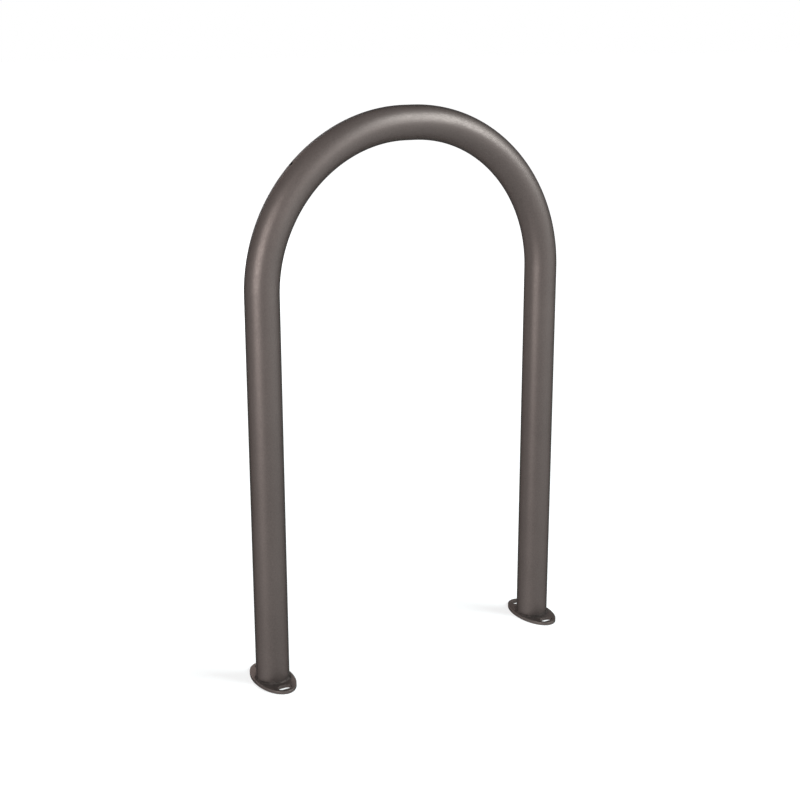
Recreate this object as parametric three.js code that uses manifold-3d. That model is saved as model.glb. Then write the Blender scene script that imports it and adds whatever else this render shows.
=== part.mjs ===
// Hoop bike rack: one length of steel pipe bent into an inverted U, with a slotted oval plate welded
// under each leg. Millimetres, +Z up, +X from the left leg to the right leg, +Y to the back. The
// origin is on the ground, midway between the legs.

import * as THREE from 'three';
import { mergeVertices, toCreasedNormals } from 'three/addons/utils/BufferGeometryUtils.js';
import Module from 'manifold-3d';

// Overall height and pipe
const OVERALL_HEIGHT = 810;
const PIPE_OUTER_DIAMETER = 48.26;
const PIPE_WALL = 3.68;

// Radius of both bends, on the pipe's centreline, and the short straight between them at the crown
const BEND_RADIUS = 222;
const CROWN_STRAIGHT = 14.2;

// Vent hole, drilled through the outside of the left bend half way round, a little to the back
const VENT_HOLE_DIAMETER = 6.35;
const VENT_HOLE_BEND_ANGLE = THREE.MathUtils.degToRad(45);
const VENT_HOLE_BACKWARD_ANGLE = THREE.MathUtils.degToRad(3);

// Fillet weld round the foot of each leg. The share sets how far its face swells: at one half it
// is straight from toe to toe.
const WELD_LEG = 3.2;
const WELD_CLEARANCE = 0.3;
const WELD_SWELL_SHARE = 0.62;

// Foot plates: the least rims are beside the weld and beyond the anchor slots
const PLATE_THICKNESS = 4.76;
const PLATE_SIDE_RIM = 0.77;
const PLATE_END_RIM = 7;
const PLATE_EDGE_BREAK = 0.4;

// Anchor slots, one near each end of a plate and lying across it
const SLOT_WIDTH = 11.6;
const SLOT_LENGTH = 21.1;
const SLOT_TO_WELD = 6.17;

// How far the drill starts outside the pipe that it cuts
const CUT_OVERRUN = 5;

// Facet counts
const PIPE_SIDES = 48;
const BEND_STEPS = 20;
const PLATE_SIDES = 72;
const SLOT_END_SIDES = 12;
const VENT_HOLE_SIDES = 16;
const WELD_FACE_STEPS = 3;

// Sizes and places that follow from those above
const PIPE_RADIUS = PIPE_OUTER_DIAMETER / 2;
const PIPE_BORE_RADIUS = PIPE_RADIUS - PIPE_WALL;
const LEG_OFFSET = BEND_RADIUS + CROWN_STRAIGHT / 2;
const BEND_START_HEIGHT = OVERALL_HEIGHT - PIPE_RADIUS - BEND_RADIUS;
const WELD_INNER_RADIUS = PIPE_RADIUS + WELD_CLEARANCE;
const WELD_TOE_RADIUS = WELD_INNER_RADIUS + WELD_LEG;
const SLOT_END_RADIUS = SLOT_WIDTH / 2;
const SLOT_END_OFFSET = SLOT_LENGTH / 2 - SLOT_END_RADIUS;
const SLOT_OFFSET = WELD_TOE_RADIUS + SLOT_TO_WELD + SLOT_END_RADIUS;
const PLATE_HALF_WIDTH = WELD_TOE_RADIUS + PLATE_SIDE_RIM;
const PLATE_HALF_LENGTH = SLOT_OFFSET + SLOT_END_RADIUS + PLATE_END_RIM;

const LEFT = { name: 'left', sign: -1 };
const RIGHT = { name: 'right', sign: 1 };

const QUARTER_TURN = Math.PI / 2;
const FULL_TURN = Math.PI * 2;
const CREASE_ANGLE = THREE.MathUtils.degToRad(30);
const CYLINDER_AXIS = new THREE.Vector3(0, 1, 0);

const wasm = await Module();
wasm.setup();

// A closed geometry as a solid that can be joined or cut
function toSolid(geometry) {
  const bare = geometry.clone();
  bare.deleteAttribute('normal');
  bare.deleteAttribute('uv');
  const merged = mergeVertices(bare);
  return new wasm.Manifold(new wasm.Mesh({
    numProp: 3,
    vertProperties: new Float32Array(merged.attributes.position.array),
    triVerts: new Uint32Array(merged.index.array),
  }));
}

// A joined or cut solid as a geometry again, smooth except at its sharp edges
function toGeometry(solid) {
  const { vertProperties, triVerts } = solid.getMesh();
  const geometry = new THREE.BufferGeometry();
  geometry.setAttribute('position', new THREE.BufferAttribute(vertProperties, 3));
  geometry.setIndex(new THREE.BufferAttribute(triVerts, 1));
  return toCreasedNormals(geometry, CREASE_ANGLE);
}

// One piece, in the brown-grey textured powder coat that covers the whole rack
function coatedMesh(name, geometry) {
  const coat = new THREE.MeshStandardMaterial({ color: '#6a605b', roughness: 0.55, metalness: 0.2 });
  const mesh = new THREE.Mesh(geometry, coat);
  mesh.name = name;
  return mesh;
}

// Corners of a closed ellipse about the origin, with no corner twice
function ellipsePoints(radiusX, radiusY, sides) {
  const ellipse = new THREE.EllipseCurve(0, 0, radiusX, radiusY, 0, FULL_TURN);
  return ellipse.getPoints(sides).slice(0, -1);
}

// Where the pipe's centreline is, and which way it runs, at an angle round the left or right bend:
// zero is the top of the leg and a quarter turn the crown
function bendStation(side, angle) {
  const outward = CROWN_STRAIGHT / 2 + BEND_RADIUS * Math.cos(angle);
  const height = BEND_START_HEIGHT + BEND_RADIUS * Math.sin(angle);
  return {
    point: new THREE.Vector3(side.sign * outward, 0, height),
    tangent: new THREE.Vector3(Math.sin(angle), 0, -side.sign * Math.cos(angle)),
  };
}

// The foot of a leg, where the pipe stands on its plate
function footStation(side) {
  return {
    point: new THREE.Vector3(side.sign * LEG_OFFSET, 0, PLATE_THICKNESS),
    tangent: new THREE.Vector3(0, 0, -side.sign),
  };
}

// The pipe's centreline as a curve of stations, from the left foot over the crown to the right foot.
// Each leg and the crown's straight take one step and the other steps lie on the bends.
class HoopCentreline extends THREE.Curve {
  constructor() {
    super();
    const angles = Array.from({ length: BEND_STEPS + 1 }, (_, i) => QUARTER_TURN * i / BEND_STEPS);
    this.stations = [
      footStation(LEFT),
      ...angles.map((angle) => bendStation(LEFT, angle)),
      ...angles.toReversed().map((angle) => bendStation(RIGHT, angle)),
      footStation(RIGHT),
    ];
    this.steps = this.stations.length - 1;
  }

  station(share) {
    return this.stations[Math.round(share * this.steps)];
  }

  getPoint(share, target = new THREE.Vector3()) {
    return target.copy(this.station(share).point);
  }

  getPointAt(share, target) {
    return this.getPoint(share, target);
  }

  getTangentAt(share, target = new THREE.Vector3()) {
    return target.copy(this.station(share).tangent);
  }
}

// The drill for the vent hole: it comes in from outside the left bend and stops at the centreline
function ventHoleDrill() {
  const { point, tangent } = bendStation(LEFT, VENT_HOLE_BEND_ANGLE);
  const outward = new THREE.Vector3(-tangent.z, 0, tangent.x);
  outward.applyAxisAngle(tangent, -VENT_HOLE_BACKWARD_ANGLE);
  const radius = VENT_HOLE_DIAMETER / 2;
  const length = PIPE_RADIUS + CUT_OVERRUN;
  const middle = point.addScaledVector(outward, length / 2);
  return new THREE.CylinderGeometry(radius, radius, length, VENT_HOLE_SIDES)
    .applyQuaternion(new THREE.Quaternion().setFromUnitVectors(CYLINDER_AXIS, outward))
    .translate(middle.x, middle.y, middle.z);
}

// The bent pipe, cut square at both feet and hollow right through
function hoopTube() {
  const section = new THREE.Shape(ellipsePoints(PIPE_RADIUS, PIPE_RADIUS, PIPE_SIDES));
  section.holes.push(new THREE.Path(ellipsePoints(PIPE_BORE_RADIUS, PIPE_BORE_RADIUS, PIPE_SIDES)));
  const centreline = new HoopCentreline();
  const pipe = new THREE.ExtrudeGeometry(section, {
    steps: centreline.steps,
    extrudePath: centreline,
  });
  return coatedMesh('hoop_tube', toGeometry(toSolid(pipe).subtract(toSolid(ventHoleDrill()))));
}

// Outline of the anchor slot near one end of a plate: two half rounds and the straights that join them
function slotPath(end) {
  const halfRound = (side) => new THREE.EllipseCurve(
    side.sign * SLOT_END_OFFSET, end * SLOT_OFFSET,
    SLOT_END_RADIUS, SLOT_END_RADIUS,
    -side.sign * QUARTER_TURN, -side.sign * QUARTER_TURN + FULL_TURN / 2,
  ).getPoints(SLOT_END_SIDES);
  return new THREE.Path([...halfRound(RIGHT), ...halfRound(LEFT)]);
}

// An oval plate with both its faces' edges broken, its underside on the ground
function footPlate(side) {
  const outline = new THREE.Shape(ellipsePoints(PLATE_HALF_WIDTH, PLATE_HALF_LENGTH, PLATE_SIDES));
  outline.holes.push(slotPath(-1), slotPath(1));
  const geometry = new THREE.ExtrudeGeometry(outline, {
    depth: PLATE_THICKNESS - 2 * PLATE_EDGE_BREAK,
    bevelThickness: PLATE_EDGE_BREAK,
    bevelSize: PLATE_EDGE_BREAK,
    bevelOffset: -PLATE_EDGE_BREAK,
    bevelSegments: 1,
  });
  const plate = coatedMesh(`${side.name}_foot_plate`, geometry);
  plate.position.set(side.sign * LEG_OFFSET, 0, PLATE_EDGE_BREAK);
  return plate;
}

// The weld bead in the corner between a leg and its plate: a ring of three-sided section
function footWeld(side) {
  const root = new THREE.Vector2(WELD_INNER_RADIUS, 0);
  const plateToe = new THREE.Vector2(WELD_TOE_RADIUS, 0);
  const pipeToe = new THREE.Vector2(WELD_INNER_RADIUS, WELD_LEG);
  const swell = new THREE.Vector2(
    WELD_INNER_RADIUS + WELD_LEG * WELD_SWELL_SHARE,
    WELD_LEG * WELD_SWELL_SHARE,
  );
  const face = new THREE.QuadraticBezierCurve(plateToe, swell, pipeToe).getPoints(WELD_FACE_STEPS);
  const ring = new THREE.LatheGeometry([root, ...face, root], PIPE_SIDES);
  const weld = coatedMesh(`${side.name}_foot_weld`, ring.rotateX(QUARTER_TURN));
  weld.position.set(side.sign * LEG_OFFSET, 0, PLATE_THICKNESS);
  return weld;
}

const rack = new THREE.Group();
rack.add(hoopTube());
for (const side of [LEFT, RIGHT]) {
  rack.add(footPlate(side), footWeld(side));
}

export default rack;
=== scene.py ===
# Looks of a hoop bike rack: one bent pipe on two slotted oval plates, with a weld bead round each
# foot, all under one brown-grey textured powder coat. Metres, +Z up.

from math import cos, pi, radians, sin

import bpy
import numpy as np
from mathutils import Matrix, Vector
from mathutils.geometry import tessellate_polygon


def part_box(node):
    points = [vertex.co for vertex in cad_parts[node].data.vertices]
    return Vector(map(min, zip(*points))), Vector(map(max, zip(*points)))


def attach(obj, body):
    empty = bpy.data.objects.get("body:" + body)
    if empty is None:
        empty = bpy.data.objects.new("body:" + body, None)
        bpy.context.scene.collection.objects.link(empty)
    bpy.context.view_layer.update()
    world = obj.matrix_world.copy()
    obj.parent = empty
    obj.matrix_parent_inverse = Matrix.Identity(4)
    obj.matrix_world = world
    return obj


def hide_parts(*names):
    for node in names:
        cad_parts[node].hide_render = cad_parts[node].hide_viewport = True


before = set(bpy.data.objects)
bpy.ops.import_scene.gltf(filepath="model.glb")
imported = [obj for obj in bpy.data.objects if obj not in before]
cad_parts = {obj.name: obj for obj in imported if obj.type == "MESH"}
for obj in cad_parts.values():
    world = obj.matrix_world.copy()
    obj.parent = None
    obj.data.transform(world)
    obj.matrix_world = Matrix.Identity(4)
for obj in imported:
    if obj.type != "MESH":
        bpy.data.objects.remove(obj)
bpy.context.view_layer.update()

SEED = 7
MM = 0.001
LEFT, RIGHT = -1, 1

# Pipe: its bends and wall are named here, and everything else follows from its box
BEND_RADIUS = 222 * MM
PIPE_WALL = 3.68 * MM
PIPE_SIDES = 160
BEND_STEPS = 96
PIPE_CREASE_ANGLE = radians(35)
pipe_low, pipe_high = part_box("hoop_tube")
PIPE_RADIUS = pipe_high.y
LEG_OFFSET = pipe_high.x - PIPE_RADIUS
CROWN_HEIGHT = pipe_high.z - PIPE_RADIUS
CROWN_HALF_STRAIGHT = LEG_OFFSET - BEND_RADIUS
PLATE_TOP = pipe_low.z

# Vent hole in the left bend, with a countersunk rim, and how deep the coat reaches into it
VENT_RADIUS = 6.35 / 2 * MM
VENT_RIM = 0.2 * MM
VENT_BEND_ANGLE = radians(45)
VENT_BACKWARD_ANGLE = radians(3)
VENT_SIDES = 48
COATED_DEPTH = 0.25 * MM

# Slots of the foot plates, the rounding of every edge of a plate and how far its wear reaches
SLOT_WIDTH = 11.6 * MM
SLOT_LENGTH = 21.1 * MM
SLOT_OFFSET = 39.6 * MM
PLATE_EDGE_RADIUS = 0.4 * MM
SLOT_EDGE_RADIUS = 0.15 * MM
PLATE_EDGE_STEPS = 4
WORN_WIDTH = 1.2 * MM
PLATE_SIDES = 240
SLOT_END_SIDES = 32
PLATE_CREASE_ANGLE = radians(60)

# Weld beads: legs of the fillet, how deep its root lies in the steel, and how round its face is
WELD_LEG = 2.7 * MM
WELD_ROOT_DEPTH = 0.3 * MM
WELD_BULGE_SHARE = 0.35
WELD_SIDES = 580
WELD_FACE_STEPS = 10
WELD_CREASE_ANGLE = radians(50)

# Ripples along a bead: their number and height, how far each one's middle lags behind its ends, and
# the power and mean of the wave that shapes them
RIPPLES = 58
RIPPLE_HEIGHT = 0.14 * MM
RIPPLE_LAG = 1.1
RIPPLE_POWER = 0.8
RIPPLE_MEAN = 0.6

# How a bead made by hand varies along its length, and in how many waves: the size of its legs, which
# are set back by a few times that much, the spacing of the ripples, and their height
LEG_WANDER = 0.16 * MM
LEG_WAVES = 9
LEG_SETBACK = 3 * LEG_WANDER
SPACING_WANDER = 0.02
SPACING_WAVES = 7
HEIGHT_WANDER = 0.25
HEIGHT_WAVES = 24


def linked(name, vertices, faces):
    """A new mesh object of these vertices and faces, in the scene."""
    mesh = bpy.data.meshes.new(name)
    mesh.from_pydata([tuple(v) for v in vertices], [], [tuple(int(i) for i in f) for f in faces])
    mesh.update()
    piece = bpy.data.objects.new(name, mesh)
    bpy.context.scene.collection.objects.link(piece)
    return piece


def smooth_except_edges(piece, crease_angle):
    piece.data.shade_smooth()
    piece.data.set_sharp_from_angle(angle=crease_angle)


def wrapped_grid(rings, sides):
    """Quads of a closed grid that joins up in both directions."""
    return [
        (i * sides + j, i * sides + (j + 1) % sides,
         (i + 1) % rings * sides + (j + 1) % sides, (i + 1) % rings * sides + j)
        for i in range(rings) for j in range(sides)
    ]


def open_grid(rings, sides):
    """Quads of a grid that joins up round each ring and is open at its first and last rings."""
    return wrapped_grid(rings, sides)[:(rings - 1) * sides]


# The pipe

def bend_station(side, angle):
    """Centreline point, and the direction out of the bend, at an angle from the leg's top."""
    outward = Vector((side * cos(angle), 0, sin(angle)))
    centre = Vector((side * CROWN_HALF_STRAIGHT, 0, CROWN_HEIGHT - BEND_RADIUS))
    return centre + BEND_RADIUS * outward, outward


def foot_station(side):
    return Vector((side * LEG_OFFSET, 0, PLATE_TOP)), Vector((side, 0, 0))


def pipe_stations():
    angles = [pi / 2 * i / BEND_STEPS for i in range(BEND_STEPS + 1)]
    return [
        foot_station(LEFT),
        *[bend_station(LEFT, a) for a in angles],
        *[bend_station(RIGHT, a) for a in reversed(angles)],
        foot_station(RIGHT),
    ]


def pipe_ring(station, radius):
    centre, outward = station
    back = Vector((0, 1, 0))
    turns = [2 * pi * j / PIPE_SIDES for j in range(PIPE_SIDES)]
    return [centre + radius * (outward * cos(t) + back * sin(t)) for t in turns]


def vent_drill():
    """A round drill with a flared shoulder, which leaves a countersunk hole through one wall."""
    centre, outward = bend_station(LEFT, VENT_BEND_ANGLE)
    axis = outward * cos(VENT_BACKWARD_ANGLE) + Vector((0, sin(VENT_BACKWARD_ANGLE), 0))
    across = axis.orthogonal().normalized()
    along = axis.cross(across)
    flare = PIPE_WALL
    profile = [
        (VENT_RADIUS, PIPE_RADIUS - 2 * PIPE_WALL),
        (VENT_RADIUS, PIPE_RADIUS - VENT_RIM),
        (VENT_RADIUS + VENT_RIM + flare, PIPE_RADIUS + flare),
    ]
    turns = [2 * pi * j / VENT_SIDES for j in range(VENT_SIDES)]
    vertices = [
        centre + axis * height + radius * (across * cos(t) + along * sin(t))
        for radius, height in profile for t in turns
    ]
    floor = tuple(reversed(range(VENT_SIDES)))
    lid = tuple(range(len(vertices) - VENT_SIDES, len(vertices)))
    return linked("vent_drill", vertices, [*open_grid(len(profile), VENT_SIDES), floor, lid])


def bent_pipe():
    outside = [pipe_ring(s, PIPE_RADIUS) for s in pipe_stations()]
    inside = [pipe_ring(s, PIPE_RADIUS - PIPE_WALL) for s in reversed(pipe_stations())]
    rings = outside + inside
    vertices = [v for ring in rings for v in ring]
    pipe = linked("bent_pipe", vertices, wrapped_grid(len(rings), PIPE_SIDES))
    drill = vent_drill()
    cut = pipe.modifiers.new("vent_hole", "BOOLEAN")
    cut.operation = "DIFFERENCE"
    cut.solver = "EXACT"
    cut.object = drill
    drilled = pipe.evaluated_get(bpy.context.evaluated_depsgraph_get())
    finished = bpy.data.meshes.new_from_object(drilled)
    pipe.modifiers.clear()
    pipe.data = finished
    bpy.data.objects.remove(drill)
    smooth_except_edges(pipe, PIPE_CREASE_ANGLE)
    return pipe


def distance_from_centreline(point):
    x = max(abs(point.x) - CROWN_HALF_STRAIGHT, 0)
    rise = max(point.z - (CROWN_HEIGHT - BEND_RADIUS), 0)
    return Vector((Vector((x, rise)).length - BEND_RADIUS, point.y)).length


def bare_inside(pipe, bare_steel_and_shade):
    """The bore and the vent hole's wall, which no powder reached, take the bare steel, painted nearly
    black as their shade.
    """
    pipe.data.materials.append(bare_steel_and_shade)
    for face in pipe.data.polygons:
        face.material_index = distance_from_centreline(face.center) < PIPE_RADIUS - COATED_DEPTH


# The foot plates

def ellipse_loop(half_width, half_length):
    """Points of the plate's outline, with the direction from each one into the steel."""
    turns = [2 * pi * j / PLATE_SIDES for j in range(PLATE_SIDES)]
    points = [Vector((half_width * cos(t), half_length * sin(t))) for t in turns]
    inward = [-Vector((half_length * cos(t), half_width * sin(t))).normalized() for t in turns]
    return points, inward


def slot_loop(end):
    """Points of a slot's outline, with the direction from each one into the steel."""
    end_radius = SLOT_WIDTH / 2
    end_offset = SLOT_LENGTH / 2 - end_radius
    points, inward = [], []
    for side in (RIGHT, LEFT):
        for j in range(SLOT_END_SIDES + 1):
            turn = pi * (j / SLOT_END_SIDES - side / 2)
            away = Vector((cos(turn), sin(turn)))
            points.append(Vector((side * end_offset, end * SLOT_OFFSET)) + end_radius * away)
            inward.append(away)
    return points, inward


def edge_profile(thickness, radius):
    """Set-back, height and wear of each ring from the underside round to the top."""
    turns = [pi / 2 * k / PLATE_EDGE_STEPS for k in range(PLATE_EDGE_STEPS + 1)]
    corner = [(radius * (1 - sin(t)), radius * (1 - cos(t)), 1) for t in turns]
    lower = [(WORN_WIDTH, 0, 0), *corner, (0, WORN_WIDTH, 0)]
    return lower + [(setback, thickness - height, wear) for setback, height, wear in reversed(lower)]


def level_faces(vertices, rims, upward):
    """Triangles that fill a plate's outline round its slots, all facing up or all facing down."""
    order = [i for rim in rims for i in rim]
    triangles = []
    for corners in tessellate_polygon([[vertices[i] for i in rim] for rim in rims]):
        a, b, c = (order[k] for k in corners)
        faces_up = (vertices[b] - vertices[a]).cross(vertices[c] - vertices[a]).z > 0
        triangles.append((a, b, c) if faces_up == upward else (a, c, b))
    return triangles


def foot_plate(side_name):
    """An oval plate. Its steel lies inside its outline and outside its slots, so the slots' walls are
    wound the other way round."""
    low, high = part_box(side_name + "_foot_plate")
    middle = (low + high) / 2
    loops = [
        (ellipse_loop((high.x - low.x) / 2, (high.y - low.y) / 2), PLATE_EDGE_RADIUS, 1),
        (slot_loop(-1), SLOT_EDGE_RADIUS, -1),
        (slot_loop(1), SLOT_EDGE_RADIUS, -1),
    ]
    vertices, faces, worn, under, top = [], [], [], [], []
    for (points, inward), edge_radius, way_round in loops:
        first, count = len(vertices), len(points)
        profile = edge_profile(high.z - low.z, edge_radius)
        for setback, height, wear in profile:
            worn += [wear] * count
            vertices += [
                Vector((middle.x + p.x + setback * d.x, middle.y + p.y + setback * d.y, low.z + height))
                for p, d in zip(points, inward)
            ]
        faces += [tuple(first + i for i in f)[::way_round] for f in open_grid(len(profile), count)]
        under.append(range(first, first + count))
        top.append(range(len(vertices) - count, len(vertices)))
    faces += level_faces(vertices, under, upward=False)
    faces += level_faces(vertices, top, upward=True)
    plate = linked(side_name + "_base_plate", vertices, faces)
    plate.data.attributes.new("worn_edge", "FLOAT", "POINT").data.foreach_set("value", worn)
    smooth_except_edges(plate, PLATE_CREASE_ANGLE)
    even = plate.modifiers.new("even_shading", "WEIGHTED_NORMAL")
    even.keep_sharp = True
    return plate


# The weld beads

def smooth_noise(rng, turns, waves):
    """A wandering value about nought round a full turn, made of a few whole waves."""
    total = np.zeros_like(turns)
    for wave in range(1, waves + 1):
        total += rng.normal() / wave * np.cos(wave * turns + rng.uniform(0, 2 * pi))
    return total


def weld_bead(side_name, side, rng):
    """A ring whose sections hold distances from the leg's axis and heights over the plate."""
    turns = np.linspace(0, 2 * pi, WELD_SIDES, endpoint=False)
    legs = WELD_LEG + LEG_WANDER * smooth_noise(rng, turns, LEG_WAVES) - LEG_SETBACK
    pace = turns + SPACING_WANDER * smooth_noise(rng, turns, SPACING_WAVES)
    heights = 1 + HEIGHT_WANDER * smooth_noise(rng, turns, HEIGHT_WAVES)
    face = []
    for share in np.linspace(0, 1, WELD_FACE_STEPS + 1):
        straight = np.array([1 - share, share])
        rounded = np.array([cos(share * pi / 2), sin(share * pi / 2)])
        section = straight * (1 - WELD_BULGE_SHARE) + rounded * WELD_BULGE_SHARE
        lag = RIPPLE_LAG * sin(pi * share)
        wave = np.abs(np.sin((pace * RIPPLES + lag) / 2)) ** RIPPLE_POWER - RIPPLE_MEAN
        ripple = RIPPLE_HEIGHT * heights * wave * sin(pi * share)
        face.append(legs[:, None] * section + ripple[:, None] / 2 ** 0.5 + np.array([PIPE_RADIUS, 0]))
    root = np.tile([PIPE_RADIUS - WELD_ROOT_DEPTH, -WELD_ROOT_DEPTH], (WELD_SIDES, 1))
    sunk_plate_toe = face[0] + np.array([0, -WELD_ROOT_DEPTH])
    sunk_pipe_toe = face[-1] + np.array([-WELD_ROOT_DEPTH, 0])
    rings = [root, sunk_plate_toe, *face, sunk_pipe_toe]
    vertices = [
        (side * LEG_OFFSET + radius * cos(turn), radius * sin(turn), PLATE_TOP + height)
        for ring in rings for turn, (radius, height) in zip(turns, ring)
    ]
    bead = linked(side_name + "_weld_bead", vertices, wrapped_grid(len(rings), WELD_SIDES))
    smooth_except_edges(bead, WELD_CREASE_ANGLE)
    return bead


# The powder coat: a satin dark bronze with metal flake in it. The edge tint is what it keeps of a
# metal's bright reflection along its outline.

COAT_COLOUR = (0.0845, 0.0692, 0.0643)
COAT_METAL_SHARE = 0.85
COAT_ROUGHNESS = 0.455
COAT_EDGE_TINT = 0.08

# Colour of the plates and of the rougher welds, as shares of the pipe's. It is one coat: the plates'
# is painted lighter as painted light, the welds' darker as painted shade at the joint
PLATE_LIGHT_LEVEL = 1.1
WELD_SHADE_LEVEL = 0.7
WELD_ROUGHNESS = 0.66
WELD_GRAIN = 1.4

# Broad blotches, and flakes that show where their noise is high: sizes, and what they do to the colour
BLOTCH_SIZE = 70 * MM
BLOTCH_CHANGE = 0.05
FLAKE_SIZE = 2 * MM
FLAKE_NOISE_RANGE = (0.35, 0.65)
FLAKE_SHARE = 0.2
FLAKE_LEVEL = 1.7

# Patches of more and less gloss, the orange peel of the powder and its fine texture
GLOSS_SIZE = 3.2 * MM
GLOSS_CHANGE = 0.06
PEEL_SIZE = 5 * MM
PEEL_DEPTH = 0.12 * MM
TEXTURE_SIZE = 1.2 * MM
TEXTURE_DEPTH = 0.08 * MM
TEXTURE_STRENGTH = 0.6

# Wear along the plates' edges, in patches, where the coat is lighter and polished
WEAR_SIZE = 6 * MM
WEAR_NOISE_RANGE = (0.45, 0.65)
WEAR_SHARE = 0.6
WEAR_LEVEL = 1.7
WEAR_POLISH = 0.1

# How far the painted shade at the foot, a darkening where a leg meets its plate, reaches up the
# pipe and out over the plate, how much that wanders and how it fades, and how dark and dull it is
FOOT_SHADE_HEIGHT = 6 * MM
FOOT_SHADE_REACH = 7 * MM
FOOT_SHADE_WANDER_SIZE = 9 * MM
FOOT_SHADE_WANDER = 2 * MM
FOOT_SHADE_FADE_POWER = 1.6
FOOT_SHADE_DARKNESS = 0.45
FOOT_SHADE_DULLNESS = 0.25

# Bare steel inside the pipe: dull, with patches, grain and pits. Its mill scale is painted nearly
# black as the shade in the bore and the vent hole, and the painted shade at the feet goes towards it
BARE_AND_SHADE_COLOUR = (0.006, 0.0055, 0.005)
BARE_COLOUR_CHANGE = 0.4
BARE_ROUGHNESS_RANGE = (0.75, 0.9)
BARE_REFLECTION = 0.1
BARE_PATCH_SIZE = 8 * MM
BARE_GRAIN_SIZE = 2 * MM
BARE_PIT_SIZE = 1 * MM
BARE_PIT_DEPTH = 0.1 * MM
BARE_PIT_STRENGTH = 0.5

# Where nearly all of a noise's values lie
NOISE_RANGE = (0.3, 0.7)


class Nodes:
    """A material's nodes, with short ways to add and link the kinds used here."""

    def __init__(self, name):
        self.material = bpy.data.materials.new(name)
        self.material.use_nodes = True
        self.tree = self.material.node_tree
        self.shader = self.tree.nodes["Principled BSDF"]
        self.place = self.add("ShaderNodeTexCoord").outputs["Object"]

    def add(self, kind, operation=None, **inputs):
        """A new node. Its inputs are given by name, with _ for a space, or by number, as i0 and i1."""
        node = self.tree.nodes.new(kind)
        if operation:
            node.operation = operation
        for name, value in inputs.items():
            socket = int(name[1:]) if name[1:].isdigit() else name.replace("_", " ")
            self.feed(node.inputs[socket], value)
        return node

    def feed(self, socket, value):
        if isinstance(value, bpy.types.NodeSocket):
            self.tree.links.new(value, socket)
        else:
            socket.default_value = value

    def maths(self, operation, first, second=0.0):
        return self.add("ShaderNodeMath", operation, i0=first, i1=second).outputs["Value"]

    def noise(self, size, detail=2.0, roughness=0.5):
        """Noise whose blotches are about this size."""
        return self.add("ShaderNodeTexNoise", Vector=self.place, Scale=1 / size, Detail=detail,
                        Roughness=roughness).outputs["Fac"]

    def ramp(self, value, start, end, low, high):
        return self.add("ShaderNodeMapRange", Value=value, From_Min=start, From_Max=end, To_Min=low,
                        To_Max=high).outputs["Result"]

    def patches(self, size, low, high, detail=2.0):
        """Noise whose blotches are about this size, stretched to run from low to high."""
        return self.ramp(self.noise(size, detail), *NOISE_RANGE, low, high)

    def mix(self, share, first, second):
        """A mix of two colours, whose sockets go by number because other kinds share their names."""
        node = self.tree.nodes.new("ShaderNodeMix")
        node.data_type = "RGBA"
        self.feed(node.inputs["Factor"], share)
        self.feed(node.inputs[6], first)
        self.feed(node.inputs[7], second)
        return node.outputs[2]

    def bump(self, height, distance, strength, normal=None):
        node = self.add("ShaderNodeBump", Height=height, Distance=distance, Strength=strength)
        if normal:
            self.feed(node.inputs["Normal"], normal)
        return node.outputs["Normal"]


def shade(colour, amount):
    return (*[amount * c for c in colour], 1)


def foot_painted_shade(nodes):
    """Painted shade where a leg meets its plate: one at the joint, fading up and outwards."""
    parts = nodes.add("ShaderNodeSeparateXYZ", Vector=nodes.place)
    across = nodes.maths("SUBTRACT", nodes.maths("ABSOLUTE", parts.outputs["X"]), LEG_OFFSET)
    flat = nodes.add("ShaderNodeCombineXYZ", X=across, Y=parts.outputs["Y"]).outputs["Vector"]
    radius = nodes.add("ShaderNodeVectorMath", "LENGTH", i0=flat).outputs["Value"]
    wander = nodes.patches(FOOT_SHADE_WANDER_SIZE, -FOOT_SHADE_WANDER, FOOT_SHADE_WANDER)
    height = nodes.maths("ADD", parts.outputs["Z"], wander)
    up = nodes.ramp(height, PLATE_TOP, PLATE_TOP + FOOT_SHADE_HEIGHT, 1, 0)
    reach = nodes.maths("ADD", radius, wander)
    out = nodes.ramp(reach, PIPE_RADIUS, PIPE_RADIUS + FOOT_SHADE_REACH, 1, 0)
    return nodes.maths("POWER", nodes.maths("MULTIPLY", up, out), FOOT_SHADE_FADE_POWER)


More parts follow.
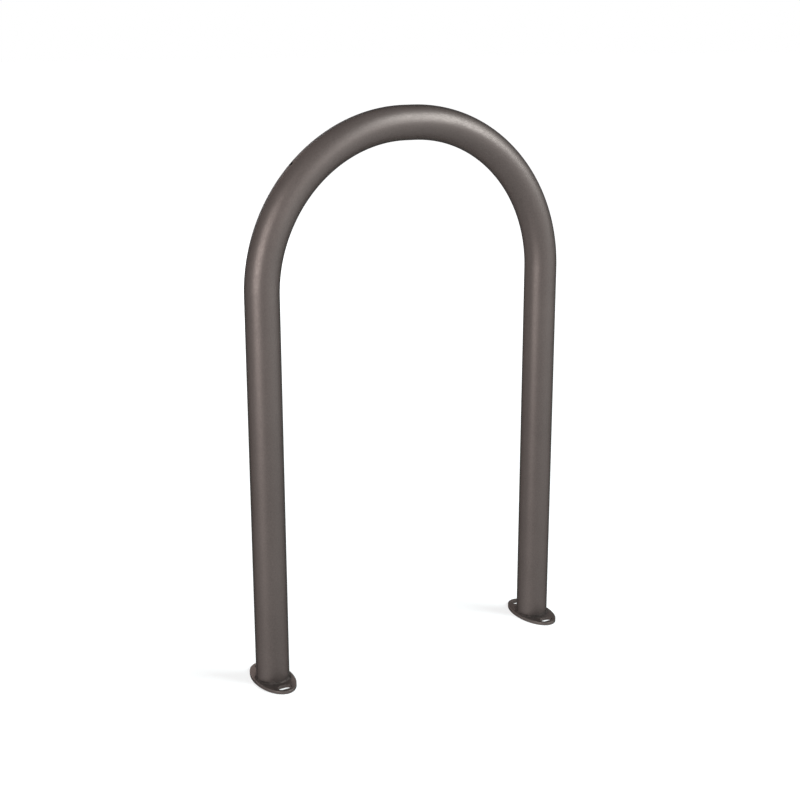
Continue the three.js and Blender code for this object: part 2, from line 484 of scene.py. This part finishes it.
def coat(name, level=1.0, roughness=COAT_ROUGHNESS, grain=1.0, worn_edges=False):
    """The powder coat, with its colour and its texture's strength as shares of the pipe's. The colour's
    share is painted light on the plates and painted shade on the welds.
    """
    nodes = Nodes(name)
    shader = nodes.shader
    blotches = nodes.patches(BLOTCH_SIZE, 0, 1, detail=3)
    darker = shade(COAT_COLOUR, (1 - BLOTCH_CHANGE) * level)
    lighter = shade(COAT_COLOUR, (1 + BLOTCH_CHANGE) * level)
    colour = nodes.mix(blotches, darker, lighter)
    flakes = nodes.noise(FLAKE_SIZE, detail=3, roughness=0.6)
    flakes = nodes.ramp(flakes, *FLAKE_NOISE_RANGE, 0, FLAKE_SHARE)
    colour = nodes.mix(flakes, colour, shade(COAT_COLOUR, FLAKE_LEVEL * level))
    # Painted shade at the foot: the colour goes towards near-black, and duller, where a leg meets its
    # plate
    painted_shade = foot_painted_shade(nodes)
    colour = nodes.mix(nodes.maths("MULTIPLY", painted_shade, FOOT_SHADE_DARKNESS), colour, shade(BARE_AND_SHADE_COLOUR, 1))
    rough = nodes.patches(GLOSS_SIZE, roughness - GLOSS_CHANGE, roughness + GLOSS_CHANGE)
    rough = nodes.maths("ADD", rough, nodes.maths("MULTIPLY", painted_shade, FOOT_SHADE_DULLNESS))
    if worn_edges:
        edge = nodes.add("ShaderNodeAttribute")
        edge.attribute_name = "worn_edge"
        scuffs = nodes.noise(WEAR_SIZE, detail=4, roughness=0.65)
        scuffs = nodes.ramp(scuffs, *WEAR_NOISE_RANGE, 0, WEAR_SHARE)
        wear = nodes.maths("MULTIPLY", edge.outputs["Fac"], scuffs)
        colour = nodes.mix(wear, colour, shade(COAT_COLOUR, WEAR_LEVEL))
        rough = nodes.maths("SUBTRACT", rough, nodes.maths("MULTIPLY", wear, WEAR_POLISH))
    nodes.feed(shader.inputs["Base Color"], colour)
    nodes.feed(shader.inputs["Roughness"], rough)
    strength = TEXTURE_STRENGTH * grain
    peel = nodes.bump(nodes.noise(PEEL_SIZE), PEEL_DEPTH, strength)
    fine_noise = nodes.noise(TEXTURE_SIZE, detail=3, roughness=0.6)
    texture = nodes.bump(fine_noise, TEXTURE_DEPTH, strength, peel)
    nodes.feed(shader.inputs["Normal"], texture)
    shader.inputs["Metallic"].default_value = COAT_METAL_SHARE
    shader.inputs["Specular Tint"].default_value = (*[COAT_EDGE_TINT] * 3, 1)
    return nodes.material


def bare_steel_and_shade():
    """Mill scale, inside the pipe and on the vent hole's wall, painted nearly black as their shade."""
    nodes = Nodes("bare_steel_and_shade")
    darker = shade(BARE_AND_SHADE_COLOUR, 1 - BARE_COLOUR_CHANGE)
    lighter = shade(BARE_AND_SHADE_COLOUR, 1 + BARE_COLOUR_CHANGE)
    colour = nodes.mix(nodes.patches(BARE_PATCH_SIZE, 0, 1, detail=4), darker, lighter)
    nodes.feed(nodes.shader.inputs["Base Color"], colour)
    nodes.feed(nodes.shader.inputs["Roughness"], nodes.patches(BARE_GRAIN_SIZE, *BARE_ROUGHNESS_RANGE))
    pits = nodes.bump(nodes.noise(BARE_PIT_SIZE), BARE_PIT_DEPTH, BARE_PIT_STRENGTH)
    nodes.feed(nodes.shader.inputs["Normal"], pits)
    nodes.shader.inputs["Specular IOR Level"].default_value = BARE_REFLECTION
    return nodes.material


def dress(piece, material, slot, *nodes):
    piece.data.materials.clear()
    piece.data.materials.append(material)
    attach(piece, "root")
    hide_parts(*nodes)


def make_rack():
    rng = np.random.default_rng(SEED)
    pipe = bent_pipe()
    dress(pipe, coat("pipe_coat"), "pipe_coat", "hoop_tube")
    bare_inside(pipe, bare_steel_and_shade())
    # One coat: painted lighter on the plates as painted light, darker on the welds as painted shade
    plate_coat = coat("plate_coat", PLATE_LIGHT_LEVEL, worn_edges=True)
    weld_coat = coat("weld_coat", WELD_SHADE_LEVEL, WELD_ROUGHNESS, WELD_GRAIN)
    for side_name, side in (("left", LEFT), ("right", RIGHT)):
        dress(foot_plate(side_name), plate_coat, "plate_coat", side_name + "_foot_plate")
        dress(weld_bead(side_name, side, rng), weld_coat, "weld_coat", side_name + "_foot_weld")


# Camera. The sensor is in millimetres, and the focal length is a share of the picture's width.

CAMERA_PLACE = Vector((-0.962752, -1.639546, 0.908755))
CAMERA_YAW = radians(30.022)
CAMERA_PITCH = radians(15.303)
CAMERA_ROLL = radians(-0.096)
SENSOR_WIDTH = 36
FOCAL_SHARE = 1351.763 / 800


def make_camera():
    camera = bpy.data.cameras.new("camera")
    camera.sensor_width = SENSOR_WIDTH
    camera.lens = SENSOR_WIDTH * FOCAL_SHARE
    holder = bpy.data.objects.new("camera", camera)
    bpy.context.scene.collection.objects.link(holder)
    turn = (Matrix.Rotation(-CAMERA_YAW, 4, "Z") @ Matrix.Rotation(pi / 2 - CAMERA_PITCH, 4, "X")
            @ Matrix.Rotation(CAMERA_ROLL, 4, "Z"))
    holder.matrix_world = Matrix.Translation(CAMERA_PLACE) @ turn
    bpy.context.scene.camera = holder


# Floor and surroundings: white to the camera and in reflections, with little light of their own. The
# floor glows less near the rack, where the lamps make up for it and the rack's shadow lies.

FLOOR_REACH = 40
FLOOR_GREY = 0.45
FLOOR_ROUGHNESS = 0.9
FLOOR_GLOW = 0.6
GLOW_START = 0.5
GLOW_END = 5.5
ROOM_LIGHT = 0.1

# Name, azimuth, height, size, radiance and colour of each softbox
LAMP_DISTANCE = 3.5
LAMP_AIM = Vector((0, 0, 0.42))
SOFTBOXES = [
    ("key_softbox", radians(48), 2.62, (2.3, 2.9), 13.4, (0.87, 1, 1.02)),
    ("left_softbox", radians(-63), 1.08, (1.8, 2.2), 8.8, (0.98, 1, 1)),
    ("front_softbox", radians(6), 1.25, (3.2, 2.4), 1.0, (1, 1, 1)),
    ("rear_softbox", radians(-178), 1.8, (2.4, 2.6), 5.4, (1, 1, 1)),
]


def background_rays(tree):
    """One where a camera, glossy or transmission ray looks, and nought for all the others."""
    rays = tree.nodes.new("ShaderNodeLightPath")
    shown = rays.outputs["Is Camera Ray"]
    for kind in ("Is Glossy Ray", "Is Transmission Ray"):
        either = tree.nodes.new("ShaderNodeMath")
        either.operation = "MAXIMUM"
        tree.links.new(shown, either.inputs[0])
        tree.links.new(rays.outputs[kind], either.inputs[1])
        shown = either.outputs["Value"]
    return shown


def make_floor():
    corners = [(x * FLOOR_REACH, y * FLOOR_REACH, 0) for x, y in ((-1, -1), (1, -1), (1, 1), (-1, 1))]
    floor = linked("floor", corners, [(0, 1, 2, 3)])
    nodes = Nodes("pale_floor")
    shader = nodes.shader
    shader.inputs["Base Color"].default_value = (*[FLOOR_GREY] * 3, 1)
    shader.inputs["Roughness"].default_value = FLOOR_ROUGHNESS
    shader.inputs["Specular IOR Level"].default_value = 0
    shader.inputs["Emission Color"].default_value = (1, 1, 1, 1)
    distance = nodes.add("ShaderNodeVectorMath", "LENGTH", i0=nodes.place).outputs["Value"]
    glow = nodes.ramp(distance, GLOW_START, GLOW_END, FLOOR_GLOW, 1)
    glow.node.interpolation_type = "SMOOTHSTEP"
    shown = nodes.maths("MULTIPLY", background_rays(nodes.tree), glow)
    nodes.feed(shader.inputs["Emission Strength"], shown)
    floor.data.materials.append(nodes.material)


def softbox(name, turn, height, size, radiance, colour):
    """A standing rectangular lamp at an azimuth round the rack, facing the rack's middle."""
    place = Vector((sin(turn), -cos(turn), 0)) * LAMP_DISTANCE + Vector((0, 0, height))
    lamp = bpy.data.lights.new(name, "AREA")
    lamp.shape = "RECTANGLE"
    lamp.size, lamp.size_y = size
    lamp.energy = radiance * pi * size[0] * size[1]
    lamp.color = colour
    holder = bpy.data.objects.new(name, lamp)
    holder.location = place
    holder.rotation_euler = (LAMP_AIM - place).to_track_quat("-Z", "Y").to_euler()
    bpy.context.scene.collection.objects.link(holder)


def make_light():
    world = bpy.data.worlds.new("studio")
    bpy.context.scene.world = world
    world.use_nodes = True
    tree = world.node_tree
    sky = tree.nodes["Background"]
    sky.inputs["Color"].default_value = (1, 1, 1, 1)
    level = tree.nodes.new("ShaderNodeMapRange")
    level.inputs["To Min"].default_value = ROOM_LIGHT
    level.inputs["To Max"].default_value = 1
    tree.links.new(background_rays(tree), level.inputs["Value"])
    tree.links.new(level.outputs["Result"], sky.inputs["Strength"])
    for lamp in SOFTBOXES:
        softbox(*lamp)


make_rack()
make_camera()
make_floor()
make_light()
bpy.context.scene.view_settings.view_transform = "Standard"
